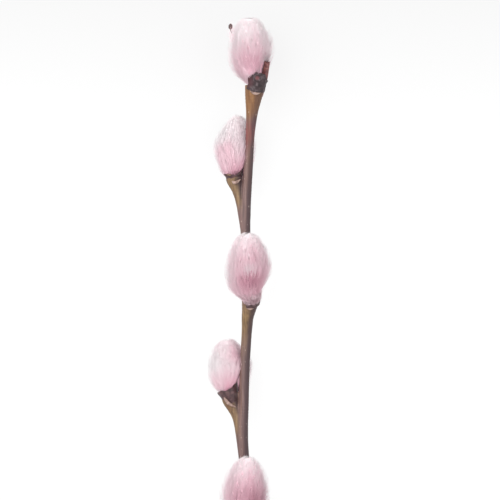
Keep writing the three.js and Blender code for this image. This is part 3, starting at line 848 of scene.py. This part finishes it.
def scale_shell(number, scale, material):
    """A curved shell: at each angle round the foot, a height along the heading and a radius that widens to
    the lip, with swellings; the inner wall lies SCALE_WALL inside it."""
    columns, rows = 60, 22
    foot, heading, front, side = scale_frame(scale)
    share = np.linspace(0, 1, columns)[:, None]
    v = np.concatenate([np.linspace(0, 1, rows), np.linspace(1, 0, rows)])[None, :]
    inner = np.concatenate([np.ones(rows), np.zeros(rows)])[None, :]
    angle = (2 * share - 1) * math.radians(scale["span"] / 2)
    r0, r1 = scale["radii"]
    ragged = 0.25 * np.sin(11 * share + 3 * r0) + 0.15 * np.sin(29 * share)
    height = lip_height(scale, share[:, 0]) + ragged
    swell = scale["wrinkle"] * np.sin(9 * share + 2) * np.sin(7 * v + 4 * share)
    radius = r0 + (r1 - r0) * v ** 0.8 + swell * np.where(inner > 0, 0.4, 1) - SCALE_WALL * inner
    points = (foot + (v * height)[..., None] * heading + (radius * np.cos(angle))[..., None] * front
              - (radius * np.sin(angle))[..., None] * side)
    points = points.reshape(-1, 3)
    outside = np.broadcast_to(inner < 0.5, (columns, 2 * rows)).ravel()
    knobby = 0.12 if number == 1 else 0.05
    knobs = knobby * (lumps(points, 1.1, 20 + number) + 0.45 * lumps(points, 0.45, 30 + number))
    if number == 1:
        from_boss = np.linalg.norm(points[:, :2] - BOSS[:2], axis=1)
        ring = 0.42 * np.exp(-((from_boss - BOSS_RADIUS) / 0.3) ** 2)
        knobs += ring - 0.2 * np.exp(-(from_boss / 0.6) ** 2)
    away = (np.cos(angle)[..., None] * front - np.sin(angle)[..., None] * side)
    away = np.broadcast_to(away, (columns, 2 * rows, 3)).reshape(-1, 3)
    points = points + away * np.where(outside, knobs, 0)[:, None]
    points[:, 2] = np.maximum(points[:, 2], ABOVE_SURFACE)
    loop = 2 * rows
    walls = grid_faces(columns, loop).reshape(-1, 4)
    k = np.arange(rows - 1)
    first = np.stack([k + 1, k, loop - 1 - k, loop - 2 - k], -1)
    last = (columns - 1) * loop + np.stack([k, k + 1, loop - 2 - k, loop - 1 - k], -1)
    return piece(f"scale_{number}", points, [walls, first, last], material,
                 (f"bud_scale_{number}",))


def rims(material):
    """The raised edges of the leaf scars: thin limbs bowed through three points and pointed at both ends."""
    parts = [closed_tube(limb([[*a, 0.1], [*b, RIM_RADIUS], [*c, 0.1]], 14, 14)) for a, b, c in RIMS]
    points, faces = joined(parts)
    points = points + 0.08 * np.stack([lumps(points, 0.7, 50 + k) for k in range(3)], 1)
    return piece("scar_rims", points, faces, material, ("stem",))


def snapped_tip(material):
    """The broken end beside the top catkin: a short limb with grooves along it and a ragged flat end."""
    rings = limb(BROKEN_TIP, 40, 24)
    share = np.linspace(0, 1, len(rings))[:, None]
    turn = np.linspace(0, 2 * np.pi, rings.shape[1], endpoint=False)[None, :]
    middle = rings.mean(1, keepdims=True)
    grooves = 1 + 0.09 * np.sin(5 * turn + 1.4 * share) + 0.04 * np.sin(13 * turn)
    rings = middle + (rings - middle) * grooves[..., None]
    ragged = smooth_step((share - 0.8) / 0.2) * (0.5 * np.sin(3 * turn) + 0.3 * np.sin(7 * turn))
    rings = rings + ragged[..., None] * np.array([0.15, 0.9, 0.4])
    points, faces = closed_tube(rings)
    return piece("snapped_tip", points, faces, material, ("stem",))


def fleck(material):
    """A crumb caught in the wool: a ball stretched by its half sizes and dented by noise, with a thread."""
    rows, columns = 14, 18
    up = np.linspace(0, np.pi, rows)[1:-1, None, None]
    turn = np.linspace(0, 2 * np.pi, columns, endpoint=False)[None, :, None]
    ball = np.concatenate([np.sin(up) * np.cos(turn), np.sin(up) * np.sin(turn), -np.cos(up) + 0 * turn], -1)
    ball = ball * (1 + 0.15 * lumps(ball.reshape(-1, 3), 0.5, 61).reshape(ball.shape[:2])[..., None])
    thread = limb(FLECK_THREAD, 8, 6)
    points, faces = joined([closed_tube(ball * FLECK_HALF + FLECK_MIDDLE), closed_tube(thread)])
    return piece("fleck", points, faces, material, ("scale_fleck",))


def fleck_hairs(material):
    """A few long hairs of the top catkin that reach out to the crumb and past it."""
    random = np.random.default_rng(71)
    count = 46
    out = np.tile([-0.5, 0.2, 0.8], (count, 1))
    top = CATKINS[1]
    t, angle = random.uniform(0.5, 0.82, count), random.normal(np.pi, 0.35, count)
    root = on_catkin(top, t, angle, np.full(count, 0.8))
    tip = np.array(FLECK_MIDDLE) + random.normal(0, 1, (count, 3)) * [0.7, 2.2, 0.5]
    bend = 0.5 * (root + tip) + random.normal(0, 0.7, (count, 3)) + [-0.5, -0.8, 0.4]
    return hairs("fleck_hairs", root, bend, tip, random.uniform(0.5, 0.8, count), material, random,
                 ("catkin_1",), out)


def foot_fuzz(number, count, material):
    """Coarse pale wisps at the foot of a catkin that hang back out over its bud scale."""
    catkin = CATKINS[number]
    random = np.random.default_rng(80 + number)
    t, angle = random.uniform(0.03, 0.23, count), random.normal(0.8, 0.75, count)
    back = random.uniform(0.02, 0.11, count)
    reach = random.uniform(0.92, 1.17, count)
    root = on_catkin(catkin, t, angle, np.full(count, 0.72))
    bend = on_catkin(catkin, t - 0.3 * back, angle, 0.98 * reach) + random.normal(0, 0.2, (count, 3))
    tip = on_catkin(catkin, np.maximum(t - back, 0.03), angle + random.normal(0, 0.2, count), reach)
    tip += random.normal(0, 0.4, (count, 3))
    out = unit(bend - on_catkin(catkin, t, angle, np.zeros(count)))
    root, bend, tip = (off_the_wood(points, WOOD_GAP) for points in (root, bend, tip))
    tone = random.uniform(0.55, 0.97, count)
    return hairs(f"catkin_{number}_fuzz", root, bend, tip, tone, material, random,
                 (f"catkin_{number}",), out)


camera_and_light()
wool_material = wool_finish()
# The wisps' darker grey mauve is partly painted shade, the grey of pale hairs in shadow at the catkin's
# foot, and partly their own mottled tones.
wisp_material = scale_finish("wool wisp", (140, 104, 112), (196, 164, 172), (236, 218, 222))
foot_fuzz(3, 1300, wisp_material)
foot_fuzz(5, 700, wisp_material)
for number, catkin in CATKINS.items():
    wool(number, catkin, wool_material)
    core(number, catkin, wool_material)
stem(bark_finish(), cut_finish())
rims(scale_finish("scar rim", (110, 87, 80), (142, 117, 108), (166, 142, 133)))
snapped_tip(scale_finish("snapped wood", (72, 40, 42), (112, 68, 66), (150, 104, 96)))
dark_scale = scale_finish("dark scale", (26, 13, 17), (46, 31, 34), (86, 74, 77), [
    (BOSS, 1.1, (104, 56, 58)), ([-1.0, 62.4, 17.2], 3.2, (66, 27, 34))])
brown_scale = scale_finish("brown scale", (46, 27, 30), (66, 43, 45), (88, 62, 63))
for number, scale in BUD_SCALES.items():
    scale_shell(number, scale, dark_scale if number == 1 else brown_scale)
fleck_hairs(wool_material)
fleck(scale_finish("fleck", (48, 34, 34), (76, 52, 50), (110, 84, 78)))
